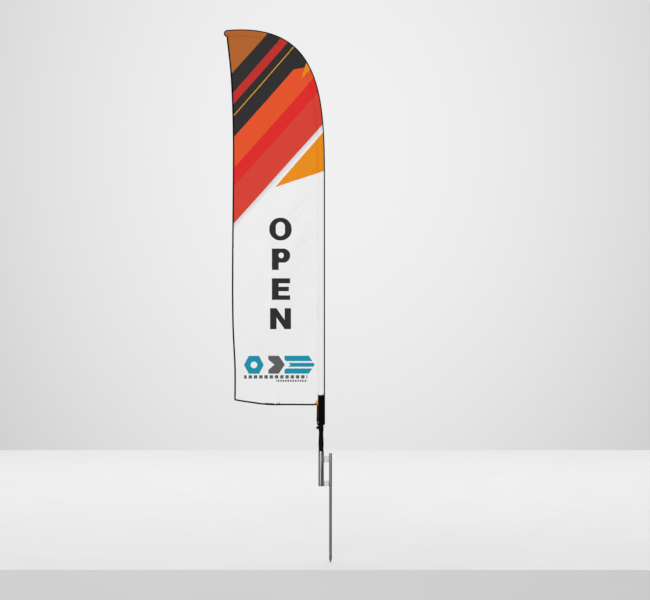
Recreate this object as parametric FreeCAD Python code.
"""Feather flag on a rotating ground spike.

Frame: millimetres, +Z up. The origin is on the spike rod's axis at ground level.
The pole stands PITCH to the -X side of the rod, and the flag flies towards -X.
Its printed face looks towards -Y. Flag coordinates (u, z) are measured from the
pole's axis: X = u - PITCH.
"""
import FreeCAD
import Part
import math
import os

# ---- spike and socket
PITCH = 50.0                  # pole axis to spike rod axis
ROD_RADIUS = 8.0
SHANK_RADIUS = 7.5            # the part of the rod that goes into the ground
SHANK_TOP = 2.0
SHANK_BOTTOM = -384.0
SPIKE_TIP = -402.0
TIP_RADIUS = 2.2
ROD_TOP = 180.0
ROD_CHAMFER = 2.0
TUBE_RADIUS = 15.0
TUBE_BORE = 13.5
TUBE_BOTTOM = 4.0
TUBE_TOP = 190.0
BRACKET_SPANS = {"lower_bracket": (4.0, 33.0), "upper_bracket": (130.0, 166.0)}
BRACKET_THICKNESS = 6.0
SADDLE_THICKNESS = 2.5
SADDLE_HALF_ANGLE = 45.0
BEAD_RADIUS = 1.8
BEAD_END_GAP = 1.0            # the beads stop this far from a web's ends
FLOOR_THICKNESS = 5.0
DRAIN_RADIUS = 3.0
WASHER_THICKNESS = 1.2

# ---- rotator liner
RUNNING_GAP = 0.05
LINER_BORE = 12.05
LINER_FLOOR = 9.5
LINER_FLOOR_THICKNESS = 2.0
FLANGE_THICKNESS = 2.5

# ---- pole sections
SEAT_GAP = 0.1                # between a shoulder and what it rests on
POLE_RADIUS = 12.0
POLE_BORE = 10.55
PLUG_FLANGE = 2.0
PLUG_LENGTH = 13.4
PLUG_BOTTOM = LINER_FLOOR + LINER_FLOOR_THICKNESS + SEAT_GAP
LOWER_POLE_BOTTOM = PLUG_BOTTOM + PLUG_FLANGE
GRIP_BOTTOM = 196.0
GRIP_TOP = 268.0
# Thickness of the grip at shares of its height.
GRIP_PROFILE = [(0.0, 0.6), (0.18, 1.4), (0.44, 2.05), (0.66, 1.4), (0.94, 1.2), (1.0, 0.6)]
COLLAR_RADIUS = 12.5
COLLAR_LENGTH = 20.0
COLLAR_LIP = 3.0
LOWER_POLE_TOP = 905.0
INSERTION = 100.0             # how far each section slides into the one below
MIDDLE_RADIUS = 10.5
MIDDLE_BORE = 9.0
MIDDLE_TOP = 1640.0
STOP_RING_RADIUS = 12.0
STOP_RING_HEIGHT = 6.0
STOP_RING_BOTTOM = LOWER_POLE_TOP + COLLAR_LIP + SEAT_GAP
FERRULE_RADIUS = 11.4
FERRULE_LENGTH = 40.0
FERRULE_SHOULDER = 1.0        # where its edge starts to turn in, above the middle tube
FERRULE_LIP = 3.0
TIP_ROD_RADIUS = 2.5
TIP_CAP_RADIUS = 4.2
TIP_CAP_LENGTH = 30.0
TIP_CAP_NOSE = 2.0            # from the rod's end to the centre of the cap's round end

# ---- curve of the pole's upper section, a cubic Bezier in (u, z)
CURVE_START = 1650.0
START_REACH = 447.0
NOSE_U = -500.0
NOSE_Z = 2416.0
NOSE_REACH = 480.0
NOSE_DROOP = 5.0              # degrees that the pole's end points downwards
NOSE_LENGTH = 18.0

# ---- flag
SLEEVE_HALF_WIDTH = 21.0      # outside the edge tape, at the foot
SLEEVE_HALF_WIDTH_NOSE = 18.5
SLEEVE_HALF_DEPTH = 15.2
SLEEVE_HALF_DEPTH_NOSE = 12.4
TAPE_PLY = 0.8
SLEEVE_PLY = 1.2
SEAM_OVERLAP = 0.6
TAPE_WIDTH = 6.5
TAPE_THICKNESS = 2.0
CLOTH_THICKNESS = 1.2
FOOT_Z = 435.5
LEECH_POINTS = [(-503.5, 2399.0), (-479.5, 2173.0), (-470.0, 1850.0), (-473.0, 1320.0),
                (-472.5, 900.0), (-462.0, 640.0), (-462.5, 462.0)]
FOOT_POINTS = [(-462.5, 462.0), (-390.0, 450.0), (-285.0, 437.0), (-150.0, FOOT_Z),
               (0.0, FOOT_Z)]
PATCH_REACH = 19.0            # corner patch beside the tab
BILLOW = 30.0
BILLOW_LENGTH = 150.0         # distance from the pole in which the billow builds up
BILLOW_WAVES = 1.3            # between the foot and the nose
BILLOW_PHASE = 0.5
BILLOW_SLANT = 0.0035         # radians of phase per millimetre away from the pole
BILLOW_ROLL = 0.75
BILLOW_SAG = 0.45
SLAB_MARGIN = 40.0            # how far the sheet that the cloth is cut from reaches past it

# ---- tab, eyelets and tensioner
TAB_BOTTOM = 326.5
TAB_TOP = 489.3
TAB_CORNER = 8.0
EYELET_U = -14.5
EYELET_Z = 343.5
EYELET_BORE = 2.4
EYELET_NECK = 3.0             # radius of the barrel that goes through the cloth
EYELET_RADIUS = 4.5
EYELET_THICKNESS = 1.0
EYELET_DEPTH = 2.4
RING_BOTTOM = 299.0
RING_TOP = 324.5
RING_RADIUS = 13.6
HORN_HALF_WIDTH = 4.5
# Outline of the horn in (u, z): down its back, round its lip and along the cord's seat.
HORN_OUTLINE = [(-12.8, RING_TOP), (-18.5, 323.0), (-26.3, 316.6), (-26.3, 313.4),
                (-22.4, 307.6), (-20.4, 307.6), (-19.2, 310.0), (-14.2, 310.0), (-12.8, 304.0)]
CORD_RADIUS = 1.5
CRIMP_RADIUS = 2.6


def vec(u, z, y=0.0):
    """A point from flag coordinates."""
    return FreeCAD.Vector(u - PITCH, y, z)


def cylinder(radius, low, high, u=0.0):
    """An upright cylinder whose axis is at u."""
    return Part.makeCylinder(radius, high - low, vec(u, low))


def tube(outer, inner, low, high):
    """A tube about the pole's axis."""
    return cylinder(outer, low, high).cut(cylinder(inner, low, high))


def turned(profile, u=0.0):
    """Revolves a closed list of (radius, z) about the upright axis at u."""
    points = [vec(u + radius, z) for radius, z in profile]
    face = Part.Face(Part.makePolygon(points + points[:1]))
    return face.revolve(vec(u, 0), FreeCAD.Vector(0, 0, 1), 360)


def prism(outline, half_depth=80.0):
    """A slab through the flag with the given (u, z) outline of edges."""
    face = Part.Face(Part.Wire(outline))
    face.translate(FreeCAD.Vector(0, -half_depth, 0))
    return face.extrude(FreeCAD.Vector(0, 2 * half_depth, 0))


def polygon(points):
    """Straight edges through (u, z) points, closed."""
    return Part.makePolygon([vec(*p) for p in points + points[:1]]).Edges


def spline(points):
    """One smooth edge through (u, z) points."""
    curve = Part.BSplineCurve()
    curve.interpolate([vec(*p) for p in points])
    return curve.toShape()


# ---- the pole's centre line above CURVE_START

def pole_line(t):
    """Point and unit tangent (u, z) at t, from 0 at CURVE_START to 1 at the nose."""
    droop = math.radians(NOSE_DROOP)
    poles = [
        (0.0, CURVE_START),
        (0.0, CURVE_START + START_REACH),
        (NOSE_U + NOSE_REACH * math.cos(droop), NOSE_Z + NOSE_REACH * math.sin(droop)),
        (NOSE_U, NOSE_Z),
    ]
    s = 1.0 - t
    weights = (s ** 3, 3 * s * s * t, 3 * s * t * t, t ** 3)
    slopes = (-3 * s * s, 3 * s * (s - 2 * t), 3 * t * (2 * s - t), 3 * t * t)
    point = [sum(w * p[i] for w, p in zip(weights, poles)) for i in (0, 1)]
    slope = [sum(w * p[i] for w, p in zip(slopes, poles)) for i in (0, 1)]
    size = math.hypot(*slope)
    return point, (slope[0] / size, slope[1] / size)


def blend(low, high, t):
    return low + (high - low) * t


def half_width(t):
    """Half width of the sleeve outside its edge tape."""
    return blend(SLEEVE_HALF_WIDTH, SLEEVE_HALF_WIDTH_NOSE, t)


def half_depth(t):
    return blend(SLEEVE_HALF_DEPTH, SLEEVE_HALF_DEPTH_NOSE, t)


def beside_pole(t, offset):
    """The (u, z) point that lies offset outwards from the pole's centre line."""
    (u, z), (du, dz) = pole_line(t)
    return u + offset * dz, z - offset * du


def station(t):
    """Placement with local X outwards from the curve, Y level and Z along the pole."""
    (u, z), (du, dz) = pole_line(t)
    origin = vec(u, z)
    return FreeCAD.Placement(FreeCAD.Matrix(
        dz, 0, du, origin.x,
        0, 1, 0, origin.y,
        -du, 0, dz, origin.z,
        0, 0, 0, 1))


def placed(wire, placement):
    moved = wire.copy()
    moved.Placement = placement
    return moved


def swept(section, low, stations=18):
    """A solid along the pole: straight up from low, then round the curve.

    section(t) gives the closed wire about the origin in the local XY plane.
    """
    foot = FreeCAD.Placement(vec(0, low), FreeCAD.Rotation())
    straight = Part.Face(placed(section(0.0), foot))
    straight = straight.extrude(FreeCAD.Vector(0, 0, CURVE_START - low))
    steps = [i / stations for i in range(stations + 1)]
    rings = [placed(section(t), station(t)) for t in steps]
    return straight.fuse(Part.makeLoft(rings, True, False)).removeSplitter()


def ellipse_wire(major, minor):
    return Part.Wire(Part.Ellipse(FreeCAD.Vector(0, 0, 0), major, minor).toShape())


# ---- spike and socket

def spike_rod():
    profile = [
        (0, SPIKE_TIP),
        (TIP_RADIUS, SPIKE_TIP),
        (SHANK_RADIUS, SHANK_BOTTOM),
        (SHANK_RADIUS, SHANK_TOP),
        (ROD_RADIUS, SHANK_TOP),
        (ROD_RADIUS, ROD_TOP - ROD_CHAMFER),
        (ROD_RADIUS - ROD_CHAMFER, ROD_TOP),
        (0, ROD_TOP),
    ]
    return turned(profile, PITCH)


def bracket(low, high):
    """A web between the rod and the tube, with a saddle that hugs the tube."""
    saddle_radius = TUBE_RADIUS + SADDLE_THICKNESS
    web = Part.makeBox(PITCH, BRACKET_THICKNESS, high - low,
                       vec(0, low, -BRACKET_THICKNESS / 2))
    saddle = Part.makeCylinder(saddle_radius, high - low, vec(0, low),
                               FreeCAD.Vector(0, 0, 1), 2 * SADDLE_HALF_ANGLE)
    saddle.rotate(vec(0, low), FreeCAD.Vector(0, 0, 1), -SADDLE_HALF_ANGLE)
    solid = web.fuse(saddle)
    solid = solid.cut(cylinder(TUBE_RADIUS, low, high))
    solid = solid.cut(cylinder(ROD_RADIUS, low, high, PITCH))
    return solid.removeSplitter()


def weld_beads():
    """Fillet beads down both sides of each web at the rod, and round each saddle."""
    beads = []
    y = BRACKET_THICKNESS / 2
    at_rod = PITCH - math.sqrt(ROD_RADIUS ** 2 - y ** 2)
    reach = math.radians(SADDLE_HALF_ANGLE)
    rim = TUBE_RADIUS + 0.5 * SADDLE_THICKNESS
    for low, high in BRACKET_SPANS.values():
        own = bracket(low, high)
        for side in (-1, 1):
            for u, away in ((at_rod, y), (rim * math.cos(reach), rim * math.sin(reach))):
                bead = Part.makeCylinder(BEAD_RADIUS, high - low - 2 * BEAD_END_GAP,
                                         vec(u, low + BEAD_END_GAP, side * away))
                bead = bead.cut(cylinder(ROD_RADIUS, low, high, PITCH))
                bead = bead.cut(cylinder(TUBE_RADIUS, low, high)).cut(own)
                beads += bead.Solids
    return Part.makeCompound(beads)


def socket_tube():
    return tube(TUBE_RADIUS, TUBE_BORE, TUBE_BOTTOM, TUBE_TOP)


def socket_floor():
    return tube(TUBE_BORE, DRAIN_RADIUS, TUBE_BOTTOM, TUBE_BOTTOM + FLOOR_THICKNESS)


def thrust_washer():
    return tube(TUBE_RADIUS, TUBE_BORE, TUBE_TOP, TUBE_TOP + WASHER_THICKNESS)


def rotator_liner():
    """Nylon bush, closed at the bottom, that turns with the pole in the socket tube."""
    rim = TUBE_TOP + WASHER_THICKNESS
    radius = TUBE_BORE - RUNNING_GAP
    return turned([
        (0, LINER_FLOOR),
        (radius, LINER_FLOOR),
        (radius, rim),
        (TUBE_RADIUS, rim),
        (TUBE_RADIUS, rim + FLANGE_THICKNESS),
        (LINER_BORE, rim + FLANGE_THICKNESS),
        (LINER_BORE, LINER_FLOOR + LINER_FLOOR_THICKNESS),
        (0, LINER_FLOOR + LINER_FLOOR_THICKNESS),
    ])


# ---- pole sections

def base_plug():
    flange = cylinder(POLE_RADIUS, PLUG_BOTTOM, LOWER_POLE_BOTTOM)
    stem = cylinder(POLE_BORE, LOWER_POLE_BOTTOM, PLUG_BOTTOM + PLUG_LENGTH)
    return flange.fuse(stem)


def lower_tube():
    return tube(POLE_RADIUS, POLE_BORE, LOWER_POLE_BOTTOM, LOWER_POLE_TOP)


def grip_sleeve():
    """Rubber grip over the pole just above the socket, thickest at its middle."""
    outside = [(POLE_RADIUS + thickness, blend(GRIP_BOTTOM, GRIP_TOP, share))
               for share, thickness in GRIP_PROFILE]
    return turned([(POLE_RADIUS, GRIP_BOTTOM)] + outside + [(POLE_RADIUS, GRIP_TOP)])


def top_collar():
    """Band round the lower pole's open end, with a lip that the next section rests on."""
    return turned([
        (POLE_RADIUS, LOWER_POLE_TOP - COLLAR_LENGTH),
        (COLLAR_RADIUS, LOWER_POLE_TOP - COLLAR_LENGTH),
        (COLLAR_RADIUS, LOWER_POLE_TOP + COLLAR_LIP),
        (POLE_BORE, LOWER_POLE_TOP + COLLAR_LIP),
        (POLE_BORE, LOWER_POLE_TOP),
        (POLE_RADIUS, LOWER_POLE_TOP),
    ])


def middle_tube():
    return tube(MIDDLE_RADIUS, MIDDLE_BORE, LOWER_POLE_TOP - INSERTION, MIDDLE_TOP)


def middle_stop_ring():
    return tube(STOP_RING_RADIUS, MIDDLE_RADIUS,
                STOP_RING_BOTTOM, STOP_RING_BOTTOM + STOP_RING_HEIGHT)


def upper_ferrule():
    """Ferrule over the middle tube's end, closed down onto the upper rod."""
    return turned([
        (MIDDLE_RADIUS, MIDDLE_TOP - FERRULE_LENGTH),
        (FERRULE_RADIUS, MIDDLE_TOP - FERRULE_LENGTH),
        (FERRULE_RADIUS, MIDDLE_TOP + FERRULE_SHOULDER),
        (MIDDLE_RADIUS, MIDDLE_TOP + FERRULE_LIP),
        (MIDDLE_BORE, MIDDLE_TOP + FERRULE_LIP),
        (MIDDLE_BORE, MIDDLE_TOP),
        (MIDDLE_RADIUS, MIDDLE_TOP),
    ])


def upper_rod():
    """Fibreglass rod that tapers to the nose."""
    def section(t):
        radius = blend(MIDDLE_BORE, TIP_ROD_RADIUS, t)
        return Part.Wire(Part.makeCircle(radius))
    return swept(section, MIDDLE_TOP - INSERTION)


def tip_cap():
    """Plastic cap with a round end, pushed over the rod's tip."""
    length = TIP_CAP_LENGTH - TIP_CAP_RADIUS
    cap = Part.makeCylinder(TIP_CAP_RADIUS, length, FreeCAD.Vector(0, 0, TIP_CAP_NOSE - length))
    cap = cap.fuse(Part.makeSphere(TIP_CAP_RADIUS, FreeCAD.Vector(0, 0, TIP_CAP_NOSE)))
    cap.Placement = station(1.0)
    return cap.cut(upper_rod())


# ---- flag

def sleeve_shell(outer_ply, inner_ply, low):
    """Oval tube of cloth round the pole, between two depths below the tape's face."""
    def ring(ply):
        return lambda t: ellipse_wire(half_width(t) - ply, half_depth(t) - ply)
    return swept(ring(outer_ply), low).cut(swept(ring(inner_ply), low))


def pole_sleeve():
    return sleeve_shell(TAPE_PLY, TAPE_PLY + SLEEVE_PLY, TAB_TOP)


def sleeve_binding():
    """Edge tape folded over the sleeve's outer edge."""
    def section(t):
        wide, deep = half_width(t), half_depth(t)
        outer = Part.Ellipse(FreeCAD.Vector(0, 0, 0), wide, deep)
        inner = Part.Ellipse(FreeCAD.Vector(0, 0, 0), wide - TAPE_PLY, deep - TAPE_PLY)
        edge = wide - TAPE_WIDTH
        out_angle = math.acos(edge / wide)
        in_angle = math.acos(edge / (wide - TAPE_PLY))
        out_arc = Part.ArcOfEllipse(outer, -out_angle, out_angle).toShape()
        in_arc = Part.ArcOfEllipse(inner, -in_angle, in_angle).toShape()
        ends = zip(out_arc.Vertexes, in_arc.Vertexes)
        sides = [Part.makeLine(a.Point, b.Point) for a, b in ends]
        return Part.Wire([out_arc, sides[1], in_arc, sides[0]])
    return swept(section, TAB_TOP)


def nose_patch():
    """Rounded closed end of the sleeve: a hollow half oval."""
    def dome(ply):
        ball = Part.makeSphere(1.0, FreeCAD.Vector(0, 0, 0), FreeCAD.Vector(0, 0, 1), 0, 90, 360)
        scale = FreeCAD.Matrix()
        scale.scale(half_width(1.0) - ply, half_depth(1.0) - ply, NOSE_LENGTH - ply)
        shape = ball.transformGeometry(scale)
        shape.Placement = station(1.0)
        return shape
    return dome(0.0).cut(dome(TAPE_PLY + SLEEVE_PLY))


def billow(u, z):
    """How far the cloth stands from the plane of the pole, in y."""
    stations = [pole_line(i / 60)[0] for i in range(61)]
    gap = min(math.hypot(u - a, z - b) for a, b in stations)
    if z < CURVE_START:
        gap = min(gap, abs(u))
    gap = max(0.0, gap - SLEEVE_HALF_WIDTH)
    fullness = gap / (gap + BILLOW_LENGTH)
    height = (z - FOOT_Z) / (NOSE_Z - FOOT_Z)
    roll = math.sin(2 * math.pi * BILLOW_WAVES * height + BILLOW_PHASE - BILLOW_SLANT * u)
    return BILLOW * fullness * (BILLOW_ROLL * roll - BILLOW_SAG * (1.0 - height))


def cloth_slab(thickness, columns=13, rows=32):
    """A sheet over the whole flag that follows the billow."""
    us = [blend(NOSE_U - SLAB_MARGIN, SLAB_MARGIN, i / (columns - 1)) for i in range(columns)]
    zs = [blend(FOOT_Z - SLAB_MARGIN, NOSE_Z + SLAB_MARGIN, j / (rows - 1))
          for j in range(rows)]
    back = thickness / 2
    grid = [[vec(u, z, billow(u, z) - back) for z in zs] for u in us]
    sheet = Part.BSplineSurface()
    sheet.interpolate(grid)
    return sheet.toShape().extrude(FreeCAD.Vector(0, thickness, 0))


def seam_points(steps=16):
    """Where the cloth enters the sleeve's wall, from the foot to the nose."""
    inset = TAPE_PLY + SEAM_OVERLAP
    points = []
    for i in range(steps + 1):
        t = i / steps
        points.append(beside_pole(t, inset - half_width(t)))
    return points


def shifted(points, du, dz):
    return [(u + du, z + dz) for u, z in points]


def cloth_outline(inset):
    """Outline of the cloth inside edge tapes of the given width."""
    leech = shifted(LEECH_POINTS, inset, 0)
    foot = shifted(FOOT_POINTS, 0, inset)
    seam = seam_points()
    corner = (leech[-1][0], foot[0][1])
    leech[-1] = corner
    foot[0] = corner
    start = (seam[0][0], foot[-1][1])
    foot[-1] = start
    return [
        spline(foot[::-1]),
        spline(leech[::-1]),
        Part.makeLine(vec(*leech[0]), vec(*seam[-1])),
        spline(seam[::-1]),
        Part.makeLine(vec(*seam[0]), vec(*start)),
    ]


def patch_outline():
    right = -SLEEVE_HALF_WIDTH
    low = FOOT_Z + TAPE_WIDTH
    return polygon([(right - PATCH_REACH, low), (right, low), (right, low + PATCH_REACH)])


def flag_panel():
    inner = prism(cloth_outline(TAPE_WIDTH)).cut(prism(patch_outline()))
    return cloth_slab(CLOTH_THICKNESS).common(inner.cut(tab_blank()))


def edge_tape():
    band = prism(cloth_outline(0.0)).cut(prism(cloth_outline(TAPE_WIDTH)))
    return cloth_slab(TAPE_THICKNESS).common(band.cut(tab_blank()))


def below_leech():
    """Everything below a mitre through the corner of the leech and the foot."""
    u, z = FOOT_POINTS[0]
    reach = 2 * TAPE_WIDTH
    return prism(polygon([
        (u - reach, z - reach),
        (u - reach, FOOT_Z - reach),
        (0, FOOT_Z - reach),
        (0, z + reach),
        (u + reach, z + reach),
    ]))


def leech_binding():
    return edge_tape().cut(below_leech())


def foot_hem():
    return edge_tape().common(below_leech())


def corner_patch():
    return cloth_slab(TAPE_THICKNESS).common(prism(patch_outline()).cut(tab_blank()))


# ---- tab, eyelets and tensioner

def tab_blank():
    """Outer form of the tab, with its lower corners cut off."""
    foot = FreeCAD.Placement(vec(0, TAB_BOTTOM), FreeCAD.Rotation())
    section = placed(ellipse_wire(SLEEVE_HALF_WIDTH, SLEEVE_HALF_DEPTH), foot)
    blank = Part.Face(section).extrude(FreeCAD.Vector(0, 0, TAB_TOP - TAB_BOTTOM))
    for side in (-1, 1):
        edge = side * SLEEVE_HALF_WIDTH
        inner = edge - side * TAB_CORNER
        beyond = edge * 1.2
        corner = [(beyond, TAB_BOTTOM - 1), (inner, TAB_BOTTOM - 1), (inner, TAB_BOTTOM),
                  (edge, TAB_BOTTOM + TAB_CORNER), (beyond, TAB_BOTTOM + TAB_CORNER)]
        blank = blank.cut(prism(polygon(corner)))
    return blank


def eyelet_frames():
    """Placements on the front and back of the tab, with local Z out of the cloth."""
    wide, deep = SLEEVE_HALF_WIDTH, SLEEVE_HALF_DEPTH
    y = deep * math.sqrt(1 - (EYELET_U / wide) ** 2)
    frames = []
    for side in (-1, 1):
        normal = FreeCAD.Vector(EYELET_U / wide ** 2, side * y / deep ** 2, 0)
        turn = FreeCAD.Rotation(FreeCAD.Vector(0, 0, 1), normal)
        frames.append(FreeCAD.Placement(vec(EYELET_U, EYELET_Z, side * y), turn))
    return frames


def sleeve_tab():
    """Black reinforced end of the sleeve, open below, with a hole for each eyelet."""
    inset = TAPE_PLY + SLEEVE_PLY
    foot = FreeCAD.Placement(vec(0, TAB_BOTTOM), FreeCAD.Rotation())
    bore = ellipse_wire(SLEEVE_HALF_WIDTH - inset, SLEEVE_HALF_DEPTH - inset)
    bore = Part.Face(placed(bore, foot)).extrude(FreeCAD.Vector(0, 0, TAB_TOP - TAB_BOTTOM))
    tab = tab_blank().cut(bore)
    for frame in eyelet_frames():
        hole = Part.makeCylinder(EYELET_NECK, 4 * EYELET_DEPTH,
                                 FreeCAD.Vector(0, 0, -2 * EYELET_DEPTH))
        hole.Placement = frame
        tab = tab.cut(hole)
    return tab


def eyelets():
    rings = []
    for frame in eyelet_frames():
        ring = Part.makeCylinder(EYELET_RADIUS, EYELET_THICKNESS)
        ring = ring.fuse(Part.makeCylinder(EYELET_NECK, EYELET_DEPTH,
                                           FreeCAD.Vector(0, 0, -EYELET_DEPTH)))
        ring = ring.cut(Part.makeCylinder(EYELET_BORE, 4 * EYELET_DEPTH,
                                          FreeCAD.Vector(0, 0, -2 * EYELET_DEPTH)))
        ring.Placement = frame
        rings.append(ring.cut(sleeve_tab()))
    return Part.makeCompound([solid for ring in rings for solid in ring.Solids])


def tension_ring():
    """Sliding ring with a horn that holds down the flag's elastic loop."""
    collar = cylinder(RING_RADIUS, RING_BOTTOM, RING_TOP)
    horn = prism(polygon(HORN_OUTLINE), HORN_HALF_WIDTH)
    bore = cylinder(POLE_RADIUS + RUNNING_GAP, RING_BOTTOM, RING_TOP)
    return collar.fuse(horn).cut(bore).removeSplitter()


# Route of the elastic loop as (u, y, z): out of the crimp, under the horn, up the
# front, through both eyelets and down the back into the crimp again.
LOOP_ROUTE = [
    (-16.5, 7.2, 310.6),
    (-16.4, 4.6, 308.2),
    (-16.4, -0.1, 306.8),
    (-16.4, -4.8, 308.4),
    (-16.4, -8.8, 313.4),
    (-16.6, -11.2, 321.0),
    (-17.0, -12.7, 329.5),
    (-17.6, -14.4, 337.0),
    (-17.0, -14.4, 342.9),
    (-12.9, -8.5, 343.9),
    (-13.9, 0.1, 344.2),
    (-12.9, 8.5, 343.9),
    (-17.0, 14.4, 342.9),
    (-17.6, 14.4, 337.1),
    (-17.2, 13.3, 330.0),
    (-16.9, 11.9, 323.0),
    (-16.7, 10.2, 316.2),
]


def cord_path(route):
    """Straight runs joined by tangent arcs."""
    points = [vec(u, z, y) for u, y, z in route]
    edges = []
    start = points[0]
    for before, corner, after in zip(points, points[1:], points[2:]):
        back = before - corner
        ahead = after - corner
        cut = 0.45 * min(back.Length, ahead.Length)
        back.normalize()
        ahead.normalize()
        enter = corner + back * cut
        leave = corner + ahead * cut
        turn = math.pi - back.getAngle(ahead)
        radius = cut / math.tan(turn / 2)
        middle = back + ahead
        middle.normalize()
        apex = corner + middle * (radius / math.cos(turn / 2) - radius)
        edges.append(Part.LineSegment(start, enter).toShape())
        edges.append(Part.Arc(enter, apex, leave).toShape())
        start = leave
        print("elastic loop: bend radius", round(radius, 1))
    edges.append(Part.LineSegment(start, points[-1]).toShape())
    return Part.Wire(edges)


def elastic_loop():
    path = cord_path(LOOP_ROUTE)
    first = path.Edges[0]
    at = first.valueAt(first.FirstParameter)
    along = first.tangentAt(first.FirstParameter)
    profile = Part.Wire(Part.makeCircle(CORD_RADIUS, at, along))
    solid = path.makePipeShell([profile], True, False)
    expected = math.pi * CORD_RADIUS ** 2 * path.Length
    print("elastic loop: length", round(path.Length, 1),
          "volume ratio", round(solid.Volume / expected, 3))
    return solid


def cord_crimp():
    """Metal crimp that joins the loop's two ends."""
    low = vec(LOOP_ROUTE[0][0], LOOP_ROUTE[0][2], LOOP_ROUTE[0][1])
    high = vec(LOOP_ROUTE[-1][0], LOOP_ROUTE[-1][2], LOOP_ROUTE[-1][1])
    along = high - low
    return Part.makeCylinder(CRIMP_RADIUS, along.Length, low, along)


PARTS = {
    "spike_rod": spike_rod,
    "weld_beads": weld_beads,
    "socket_tube": socket_tube,
    "socket_floor": socket_floor,
    "thrust_washer": thrust_washer,
    "rotator_liner": rotator_liner,
    "base_plug": base_plug,
    "lower_tube": lower_tube,
    "grip_sleeve": grip_sleeve,
    "top_collar": top_collar,
    "middle_tube": middle_tube,
    "middle_stop_ring": middle_stop_ring,
    "upper_ferrule": upper_ferrule,
    "upper_rod": upper_rod,
    "tip_cap": tip_cap,
    "pole_sleeve": pole_sleeve,
    "sleeve_binding": sleeve_binding,
    "nose_patch": nose_patch,
    "flag_panel": flag_panel,
    "leech_binding": leech_binding,
    "foot_hem": foot_hem,
    "corner_patch": corner_patch,
    "sleeve_tab": sleeve_tab,
    "eyelets": eyelets,
    "tension_ring": tension_ring,
    "elastic_loop": elastic_loop,
    "cord_crimp": cord_crimp,
}


def main():
    os.makedirs("parts", exist_ok=True)
    shapes = {name: build() for name, build in PARTS.items()}
    for name, span in BRACKET_SPANS.items():
        shapes[name] = bracket(*span)
    for name, shape in shapes.items():
        box = shape.BoundBox
        print(f"{name}: {len(shape.Solids)} solid, valid {shape.isValid()}, "
              f"x {box.XMin:.1f}..{box.XMax:.1f} y {box.YMin:.1f}..{box.YMax:.1f} "
              f"z {box.ZMin:.1f}..{box.ZMax:.1f}")
        shape.exportStep(f"parts/{name}.step")


main()
